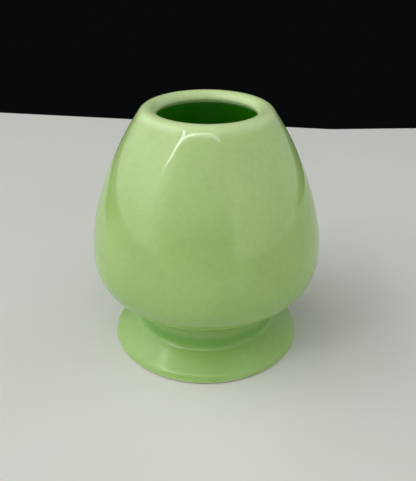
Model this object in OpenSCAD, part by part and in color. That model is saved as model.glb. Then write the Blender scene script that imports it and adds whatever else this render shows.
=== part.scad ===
// Ceramic holder for a bamboo tea whisk: a hollow bulb with a small rolled mouth, luted with
// slip onto a flared hollow foot. Glaze covers the outside, the inside and the recess under the
// foot, and stops short of the bare clay ring that the holder stands on.
//
// Millimetres, +Z up. The origin is the centre of the foot ring, on the table.
// Every outline is a chain of arcs, with straight lines between some of them, in the
// (radius, height) plane, turned once round Z.
// The outside sizes are those of the finished glaze, and the clay lies one glaze coat inside.

/* [Body] */
// Height from the table to the top of the lip
height = 70; // [68:0.5:73]
// Diameter at the widest line of the belly
belly_d = 64.7; // [63:0.1:66]
// Height of the widest line of the belly
belly_z = 28.6; // [28:0.1:30]
// How far the wall leans in, in degrees, where the shoulder's two arcs meet
shoulder_lean = 14.4; // [13:0.1:16]
// How far the wall leans in, in degrees, where it runs into the lip
lip_lean = 34.8; // [34:0.1:36]
// How far the belly has turned under, in degrees, where its two lower arcs meet
belly_turn = 53; // [50:1:56]
// How far the belly has turned under, in degrees, where it runs into the waist
waist_turn = 78; // [74:1:82]
// Thickness of the fired clay wall of the bulb
wall_t = 3.4; // [2.6:0.1:4]
// Height of the inside floor above the table
floor_z = 18.5; // [17.5:0.1:19.5]

/* [Lip] */
// Clear diameter of the mouth
mouth_d = 26.1; // [25:0.1:27]
// Radius of the rolled lip
lip_r = 2.6; // [2.2:0.1:2.8]
// Angle round the lip's section, in degrees, at which its roll ends in the inner edge
lip_end = 172; // [165:1:178]

/* [Foot] */
// Diameter of the waist at its narrowest line
waist_d = 39.6; // [38.6:0.1:40.6]
// Radius of the waist's gentle hollow
waist_hollow_r = 10; // [9:0.5:11]
// How far that hollow has turned, in degrees, where it meets the tight hollow above the flare
waist_hollow_turn = 18; // [15:1:20]
// Height of the joint between the bulb and the foot
joint_z = 14.2; // [13.8:0.1:14.6]
// Radius of the tight hollow where the belly turns into the waist
waist_fillet_r = 2; // [1.5:0.1:2.4]
// Diameter of the foot at its edge
foot_d = 55; // [54:0.1:57]
// Radius of the foot's rounded edge
foot_edge_r = 2.6; // [2.2:0.1:3]
// Angle round the foot's edge, in degrees, at which the straight flare starts
foot_edge_turn = 55; // [52:1:58]
// Radius of the tight hollow where the flare turns up into the waist
foot_hollow_r = 2.2; // [1.8:0.1:2.6]
// Thickness of the fired clay wall of the foot
foot_wall_t = 4; // [3:0.1:4.4]

/* [Glaze and slip] */
// Thickness of the fired glaze
glaze_t = 0.35; // [0.25:0.05:0.5]
// Height of the bare clay band below the glaze, outside the foot ring
bare_outside = 0.5; // [0.4:0.1:0.8]
// Height of the bare clay band below the glaze, inside the foot ring
bare_inside = 1.5; // [1:0.1:2]
// Bevel on both edges of the foot ring
ring_bevel = 0.5; // [0.2:0.1:0.6]
// Radius of the glaze that pools in the corner under the foot
pool_r = 1.2; // [0.5:0.1:2]
// Thickness of the slip between the bulb and the foot
slip_t = 0.4; // [0.3:0.1:0.8]
// Number of rings scored into each face of the slip joint
score_count = 3; // [1:1:3]
// Width of a scored ring
score_w = 0.5; // [0.3:0.1:0.6]
// Depth of a scored ring
score_depth = 0.4; // [0.2:0.1:0.6]

/* [Hidden] */

$fn = 96;
// Most that a chord of an outline may stray from its arc
chord_error = 0.01;

clay_colour = [0.86, 0.80, 0.71];
slip_colour = [0.78, 0.70, 0.60];
glaze_colour = [0.66, 0.82, 0.50];
liner_colour = [0.55, 0.74, 0.38];

function dir(a) = [cos(a), sin(a)];

// Points along the arc of radius r round c, from angle a0 to angle a1
function arc(c, r, a0, a1) =
    let (count = max(1, ceil(abs(a1 - a0) / (2 * acos(1 - chord_error / r)))))
    [for (i = [0:count]) c + r * dir(a0 + (a1 - a0) * i / count)];

// The two lengths along directions p and q that add up to the step s
function lengths(p, q, s) =
    [s.x * q.y - s.y * q.x, p.x * s.y - p.y * s.x] / (p.x * q.y - p.y * q.x);

// Shoulder: two arcs rise from the belly line and end tangent to the lip's roll
belly = [belly_d / 2, belly_z];
lip_c = [mouth_d / 2 - lip_r * cos(lip_end), height - lip_r];
shoulder = lengths(dir(shoulder_lean) - dir(0), dir(lip_lean) - dir(shoulder_lean),
    lip_c + lip_r * dir(lip_lean) - belly);
shoulder_c = belly - [shoulder[0], 0];
upper_c = shoulder_c + (shoulder[0] - shoulder[1]) * dir(shoulder_lean);

// Foot: a rounded edge, a straight flare, then a tight hollow that meets the waist's hollow
waist_r = waist_d / 2;
edge_c = [foot_d / 2 - foot_edge_r, bare_outside];
foot_radii = foot_edge_r + foot_hollow_r;
hollow_step = (waist_hollow_r - foot_hollow_r) * dir(waist_hollow_turn);
hollow_x = waist_r + waist_hollow_r - hollow_step.x;
flare_length = (edge_c.x + foot_radii * cos(foot_edge_turn) - hollow_x) / sin(foot_edge_turn);
hollow_c = edge_c + foot_radii * dir(foot_edge_turn) + flare_length * dir(foot_edge_turn + 90);
waist_c = hollow_c + hollow_step;

// Angle round the waist's hollow at a height z, for the outline a depth d below the glaze's face
function waist_angle(d, z) = 180 - asin((z - waist_c.y) / (waist_hollow_r + d));

// Radius of the holder at a height z in the waist, for that outline
function waist_radius(d, z) = (waist_c + (waist_hollow_r + d) * dir(waist_angle(d, z))).x;

// Belly: two arcs drop from the belly line and end tangent to the tight hollow at the waist
joint_angle = waist_angle(0, joint_z);
fillet_c = waist_c + (waist_hollow_r - waist_fillet_r) * dir(joint_angle);
under = lengths(dir(-belly_turn) - dir(0), dir(-waist_turn) - dir(-belly_turn),
    fillet_c - waist_fillet_r * dir(-waist_turn) - belly);
belly_c = belly - [under[0], 0];
lower_c = belly_c + (under[0] - under[1]) * dir(-belly_turn);

// Inside: the wall follows the outside, and a last arc runs out level on the floor
liner_depth = wall_t + 2 * glaze_t;
turn_in = belly_c + (under[0] - liner_depth) * dir(-belly_turn);
floor_r = (turn_in.y - floor_z) / (1 - sin(belly_turn));
floor_c = turn_in - floor_r * dir(-belly_turn);

// Outside of the foot from its edge up to a height z in the waist, at a depth d
function foot_side(d, z) = concat(
    arc(edge_c, foot_edge_r - d, 0, foot_edge_turn),
    arc(hollow_c, foot_hollow_r + d, 180 + foot_edge_turn, 180 + waist_hollow_turn),
    arc(waist_c, waist_hollow_r + d, 180 + waist_hollow_turn, waist_angle(d, z)));

// Outside of the bulb from the joint up to the mouth, at a depth d
function bulb_side(d) = concat(
    arc(waist_c, waist_hollow_r + d, waist_angle(d, joint_z), joint_angle),
    arc(fillet_c, waist_fillet_r + d, joint_angle, 180 - waist_turn),
    arc(lower_c, under[1] - d, -waist_turn, -belly_turn),
    arc(belly_c, under[0] - d, -belly_turn, 0),
    arc(shoulder_c, shoulder[0] - d, 0, shoulder_lean),
    arc(upper_c, shoulder[1] - d, shoulder_lean, lip_lean),
    arc(lip_c, lip_r - d, lip_lean, 90),
    arc(lip_c, lip_r - d, 90, lip_end));

// Inside of the bulb from the mouth down to the middle of the floor, at a depth d
function inside(d) = concat(
    arc(upper_c, shoulder[1] - d, lip_lean, shoulder_lean),
    arc(shoulder_c, shoulder[0] - d, shoulder_lean, 0),
    arc(belly_c, under[0] - d, 0, -belly_turn),
    arc(floor_c, floor_r + liner_depth - d, -belly_turn, -90),
    [[0, floor_z - liner_depth + d]]);

// Inner wall of the foot from a height z up to the angle a of the waist's hollow, at a depth d
function recess(d, z, a) =
    let (r = foot_hollow_r + d, bend = hollow_c - r * dir(foot_edge_turn))
    concat(
        [bend - (bend.y - z) / cos(foot_edge_turn) * dir(foot_edge_turn + 90)],
        arc(hollow_c, r, 180 + foot_edge_turn, 180 + waist_hollow_turn),
        arc(waist_c, waist_hollow_r + d, 180 + waist_hollow_turn, a));

function outside(d) = concat(foot_side(d, joint_z), bulb_side(d));

function backwards(points) = [for (i = [len(points) - 1:-1:0]) points[i]];

foot_depth = foot_wall_t + glaze_t;
foot_top = joint_z - slip_t;

module turned(points) {
    rotate_extrude() polygon(points);
}

// Rings scored into both faces of the joint, each as deep as the slip plus two scores
module score_rings() {
    inner_r = waist_radius(foot_depth, joint_z);
    pitch = (waist_radius(glaze_t, joint_z) - inner_r) / (score_count + 1);
    for (i = [1:score_count])
        translate([0, 0, foot_top - score_depth])
            rotate_extrude()
                translate([inner_r + i * pitch - score_w / 2, 0])
                    square([score_w, slip_t + 2 * score_depth]);
}

module body_shell() {
    color(clay_colour)
        difference() {
            turned(concat([[0, joint_z]], bulb_side(glaze_t), inside(wall_t + glaze_t)));
            score_rings();
        }
}

module pedestal_foot() {
    ring_out = foot_d / 2 - glaze_t;
    wall = recess(foot_depth, ring_bevel, waist_angle(foot_depth, foot_top));
    color(clay_colour)
        difference() {
            turned(concat(
                [[wall[0].x + ring_bevel, 0], [ring_out - ring_bevel, 0]],
                foot_side(glaze_t, foot_top),
                backwards(wall)));
            score_rings();
        }
}

module slip_joint() {
    function edge(d, z) = [waist_radius(d, z), z];
    color(slip_colour) {
        turned([edge(foot_depth, foot_top), edge(glaze_t, foot_top),
            edge(glaze_t, joint_z), edge(foot_depth, joint_z)]);
        score_rings();
    }
}

module outer_glaze() {
    color(glaze_colour)
        turned(concat(outside(0), backwards(outside(glaze_t))));
}

module liner_glaze() {
    edge = lip_c + lip_r * dir(lip_end);
    clay_edge = lip_c + (lip_r - glaze_t) * dir(lip_end);
    color(liner_colour)
        turned(concat([edge], inside(liner_depth), backwards(inside(wall_t + glaze_t)),
            [clay_edge]));
}

module underside_glaze() {
    face = foot_depth + glaze_t;
    level = joint_z - glaze_t;
    pool_angle = waist_angle(face + pool_r, level - pool_r);
    pool_c = waist_c + (waist_hollow_r + face + pool_r) * dir(pool_angle);
    color(glaze_colour)
        turned(concat(
            recess(face, bare_inside, pool_angle),
            arc(pool_c, pool_r, pool_angle - 180, 90),
            [[0, level], [0, joint_z]],
            backwards(recess(foot_depth, bare_inside, waist_angle(foot_depth, joint_z)))));
}

body_shell();
pedestal_foot();
slip_joint();
outer_glaze();
liner_glaze();
underside_glaze();
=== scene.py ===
"""Looks of a ceramic tea whisk holder: smooth glaze coats, bare clay foot ring, plain studio.

The holder is a body of revolution. Each piece is one closed outline in the (radius, height)
plane, turned round Z. The outlines are the chains of tangent arcs that the CAD model is built
from, and their main sizes come from the frame. The glaze coats have the slight unevenness of
hand-finished ware on top. Everything is in metres, +Z up, with the origin at the centre of the
foot ring.
"""
import math

import bpy
from mathutils import Matrix, Vector, noise


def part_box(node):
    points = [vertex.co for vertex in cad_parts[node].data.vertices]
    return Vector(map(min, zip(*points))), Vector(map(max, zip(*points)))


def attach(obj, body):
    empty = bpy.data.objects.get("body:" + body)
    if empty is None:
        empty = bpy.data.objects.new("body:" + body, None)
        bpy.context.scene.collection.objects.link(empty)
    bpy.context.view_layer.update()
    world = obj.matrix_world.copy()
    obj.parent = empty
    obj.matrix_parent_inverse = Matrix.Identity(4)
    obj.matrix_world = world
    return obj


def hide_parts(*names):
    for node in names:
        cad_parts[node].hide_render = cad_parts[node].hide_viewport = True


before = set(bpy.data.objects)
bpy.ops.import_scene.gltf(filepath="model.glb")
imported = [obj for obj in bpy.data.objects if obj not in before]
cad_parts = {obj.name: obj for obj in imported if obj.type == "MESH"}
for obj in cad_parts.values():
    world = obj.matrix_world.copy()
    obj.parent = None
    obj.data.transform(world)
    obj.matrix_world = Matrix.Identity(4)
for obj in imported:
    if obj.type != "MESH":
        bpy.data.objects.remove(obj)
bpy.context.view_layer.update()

MM = 0.001

# ---- Sizes that the frame gives ----

coat_low, coat_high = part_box("outer_glaze")
shell_low, shell_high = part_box("body_shell")
liner_low, liner_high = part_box("liner_glaze")
foot_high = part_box("pedestal_foot")[1]
under_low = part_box("underside_glaze")[0]

HEIGHT = coat_high.z
BELLY_R = coat_high.x
GLAZE_T = BELLY_R - shell_high.x
JOINT_Z = shell_low.z
FOOT_TOP = foot_high.z
FOOT_R = foot_high.x + GLAZE_T
BARE_OUTSIDE = coat_low.z
BARE_INSIDE = under_low.z
LINER_DEPTH = BELLY_R - liner_high.x + GLAZE_T
FLOOR_Z = liner_low.z + GLAZE_T

# ---- Sizes of the outline's arcs, as the CAD model has them ----

BELLY_Z = 28.6 * MM
SHOULDER_LEAN = 14.4
LIP_LEAN = 34.8
BELLY_TURN = 53
WAIST_TURN = 78
MOUTH_R = 13.05 * MM
LIP_R = 2.6 * MM
LIP_END = 172
WAIST_R = 19.8 * MM
WAIST_HOLLOW_R = 10 * MM
WAIST_HOLLOW_TURN = 18
WAIST_FILLET_R = 2 * MM
FOOT_EDGE_R = 2.6 * MM
FOOT_EDGE_TURN = 55
FOOT_HOLLOW_R = 2.2 * MM
FOOT_WALL_T = 4 * MM
POOL_R = 1.2 * MM
RING_BEVEL = 0.5 * MM

# ---- Outlines ----

FACE_SPACING = 0.45 * MM
BACK_SPACING = 0.9 * MM
BEVEL_SPACING = 0.1 * MM


def direction(degrees):
    angle = math.radians(degrees)
    return Vector((math.cos(angle), math.sin(angle)))


def arc(centre, radius, start, end, spacing=FACE_SPACING, turn=6):
    """Points along an arc, at most spacing metres and turn degrees apart."""
    length = radius * math.radians(abs(end - start))
    count = max(2, math.ceil(length / spacing), math.ceil(abs(end - start) / turn))
    return [centre + radius * direction(start + (end - start) * i / count)
            for i in range(count + 1)]


def lengths(p, q, step):
    """The two lengths along directions p and q that add up to step."""
    det = p.x * q.y - p.y * q.x
    return (step.x * q.y - step.y * q.x) / det, (p.x * step.y - p.y * step.x) / det


belly = Vector((BELLY_R, BELLY_Z))
lip_c = Vector((MOUTH_R - LIP_R * direction(LIP_END).x, HEIGHT - LIP_R))
shoulder_r, upper_r = lengths(
    direction(SHOULDER_LEAN) - direction(0),
    direction(LIP_LEAN) - direction(SHOULDER_LEAN),
    lip_c + LIP_R * direction(LIP_LEAN) - belly)
shoulder_c = belly - Vector((shoulder_r, 0))
upper_c = shoulder_c + (shoulder_r - upper_r) * direction(SHOULDER_LEAN)

edge_c = Vector((FOOT_R - FOOT_EDGE_R, BARE_OUTSIDE))
foot_radii = FOOT_EDGE_R + FOOT_HOLLOW_R
hollow_step = (WAIST_HOLLOW_R - FOOT_HOLLOW_R) * direction(WAIST_HOLLOW_TURN)
hollow_x = WAIST_R + WAIST_HOLLOW_R - hollow_step.x
flare_length = ((edge_c.x + foot_radii * direction(FOOT_EDGE_TURN).x - hollow_x)
                / direction(FOOT_EDGE_TURN).y)
hollow_c = (edge_c + foot_radii * direction(FOOT_EDGE_TURN)
            + flare_length * direction(FOOT_EDGE_TURN + 90))
waist_c = hollow_c + hollow_step


def waist_angle(depth, height):
    """Angle round the waist's hollow at a height, for the outline at a depth."""
    return 180 - math.degrees(math.asin((height - waist_c.y) / (WAIST_HOLLOW_R + depth)))


joint_angle = waist_angle(0, JOINT_Z)
fillet_c = waist_c + (WAIST_HOLLOW_R - WAIST_FILLET_R) * direction(joint_angle)
belly_arc_r, lower_r = lengths(
    direction(-BELLY_TURN) - direction(0),
    direction(-WAIST_TURN) - direction(-BELLY_TURN),
    fillet_c - WAIST_FILLET_R * direction(-WAIST_TURN) - belly)
belly_c = belly - Vector((belly_arc_r, 0))
lower_c = belly_c + (belly_arc_r - lower_r) * direction(-BELLY_TURN)

turn_in = belly_c + (belly_arc_r - LINER_DEPTH) * direction(-BELLY_TURN)
floor_r = (turn_in.y - FLOOR_Z) / (1 + direction(-BELLY_TURN).y)
floor_c = turn_in - floor_r * direction(-BELLY_TURN)


def line(start, end, spacing=FACE_SPACING):
    """Points along a straight line, at most spacing metres apart."""
    count = max(1, math.ceil((end - start).length / spacing))
    return [start.lerp(end, i / count) for i in range(count + 1)]


def foot_side(depth, top, spacing=FACE_SPACING):
    """The outside of the foot from its edge up to the height top in the waist, at a depth."""
    edge = arc(edge_c, FOOT_EDGE_R - depth, 0, FOOT_EDGE_TURN, spacing)
    hollow = arc(hollow_c, FOOT_HOLLOW_R + depth, 180 + FOOT_EDGE_TURN, 180 + WAIST_HOLLOW_TURN,
                 spacing)
    waist = arc(waist_c, WAIST_HOLLOW_R + depth, 180 + WAIST_HOLLOW_TURN,
                waist_angle(depth, top), spacing)
    return join([edge, line(edge[-1], hollow[0], spacing), hollow, waist])


def outside(depth, spacing=FACE_SPACING):
    """The outside from the foot's edge up to the mouth, at a depth below the glaze's face."""
    parts = [
        foot_side(depth, JOINT_Z, spacing),
        arc(waist_c, WAIST_HOLLOW_R + depth, waist_angle(depth, JOINT_Z), joint_angle, spacing),
        arc(fillet_c, WAIST_FILLET_R + depth, joint_angle, 180 - WAIST_TURN, spacing),
        arc(lower_c, lower_r - depth, -WAIST_TURN, -BELLY_TURN, spacing),
        arc(belly_c, belly_arc_r - depth, -BELLY_TURN, 0, spacing),
        arc(shoulder_c, shoulder_r - depth, 0, SHOULDER_LEAN, spacing),
        arc(upper_c, upper_r - depth, SHOULDER_LEAN, LIP_LEAN, spacing),
        arc(lip_c, LIP_R - depth, LIP_LEAN, LIP_END, spacing)]
    return join(parts)


def inside(depth, spacing=FACE_SPACING):
    """The inside from the mouth down to the middle of the floor, at a depth from the outside."""
    parts = [
        arc(upper_c, upper_r - depth, LIP_LEAN, SHOULDER_LEAN, spacing),
        arc(shoulder_c, shoulder_r - depth, SHOULDER_LEAN, 0, spacing),
        arc(belly_c, belly_arc_r - depth, 0, -BELLY_TURN, spacing),
        arc(floor_c, floor_r + LINER_DEPTH - depth, -BELLY_TURN, -90, spacing)]
    level = FLOOR_Z - LINER_DEPTH + depth
    start = parts[-1][-1].x
    count = math.ceil(start / (2 * spacing))
    parts.append([Vector((start * (1 - i / count), level)) for i in range(1, count + 1)])
    return join(parts)


def recess(depth, low, end, spacing=FACE_SPACING):
    """The foot's inner wall from the height low up to the angle end of the waist's hollow."""
    hollow = arc(hollow_c, FOOT_HOLLOW_R + depth, 180 + FOOT_EDGE_TURN, 180 + WAIST_HOLLOW_TURN,
                 spacing)
    slope = direction(FOOT_EDGE_TURN + 90)
    start = hollow[0] - (hollow[0].y - low) / slope.y * slope
    waist = arc(waist_c, WAIST_HOLLOW_R + depth, 180 + WAIST_HOLLOW_TURN, end, spacing)
    return join([line(start, hollow[0], spacing), hollow, waist])


def join(parts):
    """One chain from several, without the points that two of them share."""
    chain = []
    for part in parts:
        for point in part:
            if not chain or (point - chain[-1]).length > 0.01 * MM:
                chain.append(point)
    return chain


# ---- Turning an outline into a mesh ----

SEGMENTS = 192


def turned(name, outline, uneven=None):
    """The closed outline turned round Z as a mesh. Points on the axis become one vertex each.

    uneven(point, normal) gives the step, in metres, from a smooth point to the real surface.
    """
    verts = []
    rings = []
    for point in outline:
        if point.x < 1e-7:
            rings.append([len(verts)])
            verts.append((0, 0, point.y))
            continue
        rings.append(range(len(verts), len(verts) + SEGMENTS))
        for k in range(SEGMENTS):
            angle = 2 * math.pi * k / SEGMENTS
            verts.append((point.x * math.cos(angle), point.x * math.sin(angle), point.y))
    faces = []
    for low, high in zip(rings, rings[1:] + rings[:1]):
        for k in range(SEGMENTS):
            n = (k + 1) % SEGMENTS
            if len(low) == 1 and len(high) == 1:
                continue
            if len(low) == 1:
                faces.append((low[0], high[n], high[k]))
            elif len(high) == 1:
                faces.append((low[k], low[n], high[0]))
            else:
                faces.append((low[k], low[n], high[n], high[k]))
    mesh = bpy.data.meshes.new(name)
    mesh.from_pydata(verts, [], faces)
    mesh.validate()
    mesh.update()
    if uneven:
        moved = [vertex.co + uneven(vertex.co, vertex.normal) for vertex in mesh.vertices]
        mesh.vertices.foreach_set("co", [number for point in moved for number in point])
        mesh.update()
    mesh.shade_smooth()
    piece = bpy.data.objects.new(name, mesh)
    bpy.context.scene.collection.objects.link(piece)
    return piece


def place(piece, node, material):
    """Puts a piece in the place of its CAD node."""
    piece.data.materials.append(material)
    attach(piece, "root")
    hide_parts(node)


# ---- Materials ----


class Nodes:
    """Short calls for building a material's node tree."""

    def __init__(self, name):
        self.material = bpy.data.materials.new(name)
        self.material.use_nodes = True
        self.tree = self.material.node_tree
        self.shader = self.tree.nodes["Principled BSDF"]

    def node(self, kind, **settings):
        node = self.tree.nodes.new(kind)
        for key, value in settings.items():
            setattr(node, key, value)
        return node

    def link(self, source, target):
        self.tree.links.new(source, target)

    def place(self):
        """The point on the surface, in the object's own frame, in metres."""
        return self.node("ShaderNodeTexCoord").outputs["Object"]

    def noise(self, size, detail=2.0, rough=0.5):
        """Noise between 0 and 1 with features of about size metres."""
        node = self.node("ShaderNodeTexNoise")
        node.inputs["Scale"].default_value = 1 / size
        node.inputs["Detail"].default_value = detail
        node.inputs["Roughness"].default_value = rough
        self.link(self.place(), node.inputs["Vector"])
        return node.outputs["Fac"]

    def ramp(self, value, low, high, start=0.0, end=1.0):
        """value taken from the range low..high to start..end, smoothly and clamped."""
        node = self.node("ShaderNodeMapRange", interpolation_type="SMOOTHSTEP")
        for key, number in (("From Min", low), ("From Max", high), ("To Min", start),
                            ("To Max", end)):
            node.inputs[key].default_value = number
        self.link(value, node.inputs["Value"])
        return node.outputs["Result"]

    def math(self, operation, a, b):
        """The result of a sum on two values, each a number or an output."""
        node = self.node("ShaderNodeMath", operation=operation)
        for socket, value in zip(node.inputs, (a, b)):
            if isinstance(value, (int, float)):
                socket.default_value = value
            else:
                self.link(value, socket)
        return node.outputs[0]

    def blend(self, factor, a, b, mode="MIX"):
        """Colour a blended with colour b by factor."""
        node = self.node("ShaderNodeMix", data_type="RGBA", blend_type=mode)
        for key, value in ((0, factor), (6, a), (7, b)):
            if isinstance(value, (int, float)):
                node.inputs[key].default_value = value
            elif isinstance(value, tuple):
                node.inputs[key].default_value = (*value, 1)
            else:
                self.link(value, node.inputs[key])
        return node.outputs[2]

    def bump(self, height, distance, below=None):
        """A bumped normal, distance metres high, on top of the normal below it."""
        node = self.node("ShaderNodeBump")
        node.inputs["Distance"].default_value = distance
        self.link(height, node.inputs["Height"])
        if below:
            self.link(below, node.inputs["Normal"])
        return node.outputs["Normal"]


def glaze(name, body, thin_and_lit, pooled_and_shade, bands, soft_below=0):
    """Glossy glaze: body colour, made paler or darker in bands of height.

    The pale colour is glaze thinning over an edge and, on the outside, also painted highlight
    on the lit upper body and lip. The dark colour is glaze pooling in the recess under the foot
    and, on the outside, painted shade low on the body, in the waist and over the foot.
    bands are (kind, low, high, fade, amount): the stretch of height where the pale or the dark
    colour is blended in, and how much.
    The gloss is softer below the height soft_below.
    """
    n = Nodes(name)
    split = n.node("ShaderNodeSeparateXYZ")
    n.link(n.place(), split.inputs[0])
    wander = n.math("MULTIPLY", n.math("SUBTRACT", n.noise(9 * MM), 0.5), 0.8 * MM)
    height = n.math("ADD", split.outputs["Z"], wander)
    colour = n.blend(n.ramp(n.noise(14 * MM, 3), 0.35, 0.65), body,
                     tuple(0.93 * c for c in body))
    for kind, low, high, fade, amount in bands:
        rise = n.ramp(height, low - fade, low + fade)
        fall = n.ramp(height, high - fade, high + fade, 1, 0)
        share = n.math("MULTIPLY", n.math("MULTIPLY", rise, fall), amount)
        colour = n.blend(share, colour, thin_and_lit if kind == "thin_and_lit" else pooled_and_shade)
    cloud = n.ramp(n.noise(1.6 * MM, 2), 0.3, 0.7, 0.975, 1.025)
    colour = n.blend(1.0, colour, cloud, "MULTIPLY")
    n.link(colour, n.shader.inputs["Base Color"])
    rough = n.ramp(n.noise(5 * MM, 2), 0.3, 0.7, 0.06, 0.10)
    if soft_below:
        softer = n.ramp(height, soft_below - 1.5 * MM, soft_below + 1.5 * MM, 0.12, 0)
        rough = n.math("ADD", rough, softer)
    n.link(rough, n.shader.inputs["Roughness"])
    n.shader.inputs["IOR"].default_value = 1.52
    swell = n.bump(n.noise(7 * MM, 1), 0.06 * MM)
    n.link(n.bump(n.noise(0.9 * MM, 1), 0.004 * MM, below=swell), n.shader.inputs["Normal"])
    return n.material


def clay(name, light, dark, stain):
    """Matt fired clay: fine grain, small dark specks and broad warm stains."""
    n = Nodes(name)
    grain = n.noise(0.35 * MM, 4, 0.7)
    colour = n.blend(n.ramp(n.noise(6 * MM, 3), 0.35, 0.65), light, stain)
    colour = n.blend(n.ramp(grain, 0.35, 0.7, 0, 0.45), colour, dark)
    specks = n.node("ShaderNodeTexVoronoi")
    specks.inputs["Scale"].default_value = 1 / (1.4 * MM)
    n.link(n.place(), specks.inputs["Vector"])
    spot = n.ramp(specks.outputs["Distance"], 0.06, 0.14, 0.6, 0)
    colour = n.blend(spot, colour, tuple(0.35 * c for c in dark))
    n.link(colour, n.shader.inputs["Base Color"])
    n.link(n.ramp(grain, 0.3, 0.7, 0.75, 0.92), n.shader.inputs["Roughness"])
    n.link(n.bump(grain, 0.05 * MM), n.shader.inputs["Normal"])
    return n.material


# Heights between which the glaze is painted darkest: painted shade in the hollow above the foot,
# under the belly
PAINTED_SHADE_LOW = 7.2 * MM
PAINTED_SHADE_HIGH = 9.8 * MM

BODY_GREEN = (0.352, 0.535, 0.166)
# Pale green of glaze thinning over edges, also used as painted highlight on the lit upper body
THIN_AND_LIT_GREEN = (0.60, 0.76, 0.38)
# Dark green of glaze pooling in the recess under the foot, also used as painted shade on the
# outside
POOLED_AND_SHADE_GREEN = (0.14, 0.36, 0.045)
# Inside green, darker and more saturated than the body's: painted shade of the dim inside of the
# bulb
SHADED_INSIDE_GREEN = (0.05, 0.40, 0.004)

outer_material = glaze("green_glaze", BODY_GREEN, THIN_AND_LIT_GREEN, POOLED_AND_SHADE_GREEN, [
    # Paler over the upper body: painted highlight where the top is lit
    ("thin_and_lit", HEIGHT - 18 * MM, HEIGHT + 20 * MM, 9 * MM, 0.22),
    # Paler at the rim: glaze thinning over the lip, with painted highlight on it too
    ("thin_and_lit", HEIGHT - 1.6 * MM, HEIGHT + 5 * MM, 1.2 * MM, 0.85),
    # Paler line along the glaze's lower edge on the foot
    ("thin_and_lit", BARE_OUTSIDE - 1 * MM, BARE_OUTSIDE + 0.3 * MM, 0.3 * MM, 0.8),
    # Darker low on the body, up to the belly: painted shade
    ("pooled_and_shade", -10 * MM, BELLY_Z, 8 * MM, 0.16),
    # Darker over the foot: painted shade under the belly's overhang
    ("pooled_and_shade", BARE_OUTSIDE, 7.5 * MM, 1.2 * MM, 0.14),
    # Darker in the waist round the joint: painted shade under the belly
    ("pooled_and_shade", waist_c.y - 6 * MM, JOINT_Z + 1.5 * MM, 2 * MM, 0.25),
    # Darkest in the hollow above the foot: painted shade
    ("pooled_and_shade", PAINTED_SHADE_LOW, PAINTED_SHADE_HIGH, 0.9 * MM, 0.8)], soft_below=10 * MM)
liner_material = glaze("liner_glaze", SHADED_INSIDE_GREEN, THIN_AND_LIT_GREEN, SHADED_INSIDE_GREEN, [
    ("thin_and_lit", lip_c.y - 0.8 * MM, HEIGHT, 0.6 * MM, 0.5),
    ("pooled_and_shade", FLOOR_Z - 5 * MM, FLOOR_Z + 3 * MM, 3 * MM, 0.6)])
under_material = glaze("underside_glaze", BODY_GREEN, THIN_AND_LIT_GREEN, POOLED_AND_SHADE_GREEN, [
    ("thin_and_lit", BARE_INSIDE - 1 * MM, BARE_INSIDE + 0.3 * MM, 0.3 * MM, 0.8),
    ("pooled_and_shade", JOINT_Z - 1.5 * MM, JOINT_Z + 1 * MM, 1 * MM, 0.6)])
bare_material = clay("bare_clay", (0.62, 0.50, 0.37), (0.42, 0.31, 0.21), (0.50, 0.37, 0.25))
shell_material = clay("fired_clay", (0.71, 0.62, 0.49), (0.50, 0.41, 0.30), (0.64, 0.53, 0.40))
slip_material = clay("slip", (0.57, 0.45, 0.33), (0.40, 0.30, 0.21), (0.48, 0.36, 0.25))

# ---- Unevenness of the real surface ----


SWELL, SWELL_SIZE = 0.035 * MM, 11 * MM
RIPPLE, RIPPLE_SIZE = 0.012 * MM, 4 * MM
SET_BACK = 0.04 * MM


def coat_uneven(point, normal):
    """The glaze's face swells and thins a little, set back to stay inside the CAD model's size."""
    swell = SWELL * noise.noise(point / SWELL_SIZE)
    ripple = RIPPLE * noise.noise(point / RIPPLE_SIZE)
    return normal * (swell + ripple - SET_BACK)


# ---- Pieces ----

# Gap between a coat's back and the clay, so that the two faces don't coincide
BACK_GAP = 0.02 * MM


def outer_coat():
    """The glaze over the whole outside, from the bare edge of the foot to the mouth."""
    face = outside(0)
    back = outside(GLAZE_T - BACK_GAP, BACK_SPACING)
    return turned("outer_coat", face + back[::-1], coat_uneven)


def liner_coat():
    """The glaze inside the bulb, from the sharp inner edge of the lip to the floor."""
    edge = lip_c + LIP_R * direction(LIP_END)
    clay_edge = lip_c + (LIP_R - GLAZE_T) * direction(LIP_END)
    face = [edge] + inside(LINER_DEPTH)
    back = inside(LINER_DEPTH - GLAZE_T + BACK_GAP, BACK_SPACING)
    return turned("liner_coat", face + back[::-1] + [clay_edge], coat_uneven)


def underside_coat():
    """The glaze in the recess under the foot, with glaze pooling in the corner round its top."""
    depth = FOOT_WALL_T + 2 * GLAZE_T
    level = JOINT_Z - GLAZE_T
    pool_angle = waist_angle(depth + POOL_R, level - POOL_R)
    pool_c = waist_c + (WAIST_HOLLOW_R + depth + POOL_R) * direction(pool_angle)
    pool = arc(pool_c, POOL_R, pool_angle - 180, 90)
    middle = line(pool[-1], Vector((0, level)), BACK_SPACING)
    wall = recess(depth - GLAZE_T, BARE_INSIDE, waist_angle(depth - GLAZE_T, JOINT_Z))
    face = [recess(depth, BARE_INSIDE, pool_angle), pool, middle]
    back = [line(Vector((0, JOINT_Z)), wall[-1], BACK_SPACING), wall[::-1]]
    return turned("underside_coat", join(face + back)[::-1], coat_uneven)


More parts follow.
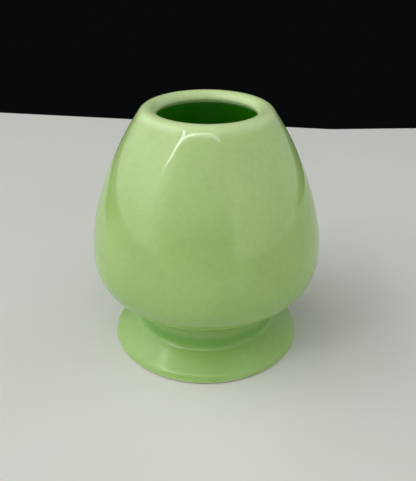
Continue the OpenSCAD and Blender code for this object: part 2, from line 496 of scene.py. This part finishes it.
def foot_body():
    """The clay of the foot, with bevels on both edges of the bare ring it stands on."""
    depth = FOOT_WALL_T + GLAZE_T
    wall = recess(depth, RING_BEVEL, waist_angle(depth, FOOT_TOP))
    side = foot_side(GLAZE_T, FOOT_TOP)
    outer_edge = arc(side[0] - Vector((RING_BEVEL, 0)), RING_BEVEL, -90, 0, BEVEL_SPACING)
    inner_edge = arc(wall[0] + Vector((RING_BEVEL, 0)), RING_BEVEL, 180, 270, BEVEL_SPACING)
    ring = line(inner_edge[-1], outer_edge[0])
    top = line(side[-1], wall[-1])
    return turned("foot_body", join([inner_edge, ring, outer_edge, side, top, wall[:0:-1]]))


place(outer_coat(), "outer_glaze", outer_material)
place(liner_coat(), "liner_glaze", liner_material)
place(underside_coat(), "underside_glaze", under_material)
place(foot_body(), "pedestal_foot", bare_material)
for node, material in (("body_shell", shell_material), ("slip_joint", slip_material)):
    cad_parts[node].data.materials.clear()
    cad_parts[node].data.materials.append(material)

# ---- Studio ----


def sheet(name, outline, height, light, dark, rough):
    """A flat level surface with a soft grain, as part of the stage."""
    mesh = bpy.data.meshes.new(name)
    mesh.from_pydata([(x, y, height) for x, y in outline], [], [range(len(outline))])
    piece = bpy.data.objects.new(name, mesh)
    bpy.context.scene.collection.objects.link(piece)
    n = Nodes(name)
    n.link(n.blend(n.ramp(n.noise(60 * MM, 3), 0.3, 0.7), dark, light),
           n.shader.inputs["Base Color"])
    n.link(n.ramp(n.noise(3 * MM, 2), 0.3, 0.7, rough - 0.03, rough + 0.03),
           n.shader.inputs["Roughness"])
    n.shader.inputs["Specular IOR Level"].default_value = 0.3
    mesh.materials.append(n.material)


def tabletop():
    """A pale smooth board on a darker floor.

    The board ends a little way behind the holder, in two straight edges that meet in a corner, and
    in front and on the left just outside the camera's view, where the glaze mirrors the floor.
    """
    reach = 1.6
    front, left = -0.20, -0.21
    corner = (0.0715, 0.192)
    left_slope, right_slope = -0.139, 0.055
    floor_back = 0.1
    board = [(left, front), (reach, front),
             (reach, corner[1] + right_slope * (reach - corner[0])), corner,
             (left, corner[1] + left_slope * (left - corner[0]))]
    floor = [(-reach, -reach), (reach, -reach), (reach, floor_back), (-reach, floor_back)]
    sheet("tabletop", board, 0, (0.74, 0.75, 0.71), (0.72, 0.73, 0.68), 0.41)
    sheet("floor", floor, -4 * MM, (0.40, 0.40, 0.38), (0.37, 0.37, 0.35), 0.5)


# Soft walls and ceiling of the tent round the holder: name, centre, sides u and v, and the
# radiance at the corners -u-v, +u-v, -u+v and +u+v, which runs smoothly between them
PANELS = [
    ("ceiling", (-0.03, -0.2, 1.5), (2.0, 0, 0), (0, 2.0, 0), (1.6, 0.5, 0.6, 0)),
    ("left_wall", (-1.10, 0.555, 0.75), (0.2, -2.49, 0), (0, 0, 1.5), (0.2, 1.6, 0.9, 3.0)),
    ("front_left", (-0.975, -0.90, 0.75), (0.05, -0.42, 0), (0, 0, 1.5), (1.2, 0.5, 2.2, 0.9)),
    ("front_wall", (-0.15, -1.18, 0.75), (1.6, -0.14, 0), (0, 0, 1.5), (0.2, 0.4, 0.65, 0.75)),
    ("right_wall", (0.825, 0.275, 0.75), (0.35, 3.05, 0), (0, 0, 1.5), (1.2, 0.3, 0.6, 0.3)),
]

# Thin bright strips along the tent's edges: name, start, end, width, radiance at both ends
STRIPS = [
    ("front_strip", (-0.95, -1.11, 1.5), (0.60, -1.27, 1.5), 0.03, (16, 9)),
    ("left_strip", (-0.95, -1.11, 1.5), (-1.10, 0.60, 1.5), 0.03, (26, 0)),
    ("corner_strip", (-1.04, -1.07, 1.5), (-1.35, -0.81, 0.8), 0.04, (34, 0)),
]


def fade(tree, value, start, end):
    """A value that goes from start to end as another goes from 0 to 1."""
    node = tree.nodes.new("ShaderNodeMapRange")
    tree.links.new(value, node.inputs["Value"])
    for key, level in (("To Min", start), ("To Max", end)):
        if isinstance(level, (int, float)):
            node.inputs[key].default_value = level
        else:
            tree.links.new(level, node.inputs[key])
    return node.outputs["Result"]


def panel(name, centre, u, v, corners):
    """A soft flat light with sides u and v and the given radiance at its corners. It shines
    against the direction u x v."""
    centre, u, v = Vector(centre), Vector(u), Vector(v)
    light = bpy.data.lights.new(name, "AREA")
    light.shape = "RECTANGLE"
    light.size, light.size_y = u.length, v.length
    light.energy = math.pi * u.length * v.length
    light.use_nodes = True
    tree = light.node_tree
    split = tree.nodes.new("ShaderNodeSeparateXYZ")
    tree.links.new(tree.nodes.new("ShaderNodeNewGeometry").outputs["Parametric"],
                   split.inputs[0])
    low = fade(tree, split.outputs["X"], corners[0], corners[1])
    high = fade(tree, split.outputs["X"], corners[2], corners[3])
    tree.links.new(fade(tree, split.outputs["Y"], low, high),
                   tree.nodes["Emission"].inputs["Strength"])
    lamp = bpy.data.objects.new(name, light)
    bpy.context.scene.collection.objects.link(lamp)
    x, z = u.normalized(), u.cross(v).normalized()
    lamp.matrix_world = Matrix((x, z.cross(x), z)).transposed().to_4x4()
    lamp.location = centre


def strip(name, start, end, width, ends):
    """A thin bright panel from start to end that faces the holder."""
    start, end = Vector(start), Vector(end)
    along, centre = end - start, (start + end) / 2
    panel(name, centre, along, width * centre.cross(along).normalized(), ends * 2)


CAMERA_PLACE = (0.47 * MM, -158.43 * MM, 116.49 * MM)
CAMERA_LENS = 46.55
CAMERA_DOWN = 28.6
CAMERA_ROLL = 0.39


def camera():
    """The view from in front and above, a little rolled."""
    data = bpy.data.cameras.new("camera")
    data.sensor_width = 36
    data.lens = CAMERA_LENS
    view = bpy.data.objects.new("camera", data)
    bpy.context.scene.collection.objects.link(view)
    view.location = CAMERA_PLACE
    view.rotation_euler = (math.radians(90 - CAMERA_DOWN), 0, 0)
    view.rotation_euler.rotate_axis("Z", math.radians(CAMERA_ROLL))
    data.clip_start = 0.01
    bpy.context.scene.camera = view


ROOM = (0.0025, 0.003, 0.0035, 1)


def studio():
    """A nearly black room with the lights, the board and the camera in it."""
    world = bpy.data.worlds.new("studio")
    world.use_nodes = True
    world.node_tree.nodes["Background"].inputs["Color"].default_value = ROOM
    bpy.context.scene.world = world
    bpy.context.scene.view_settings.view_transform = "Standard"
    for light in PANELS:
        panel(*light)
    for light in STRIPS:
        strip(*light)
    tabletop()
    camera()


studio()
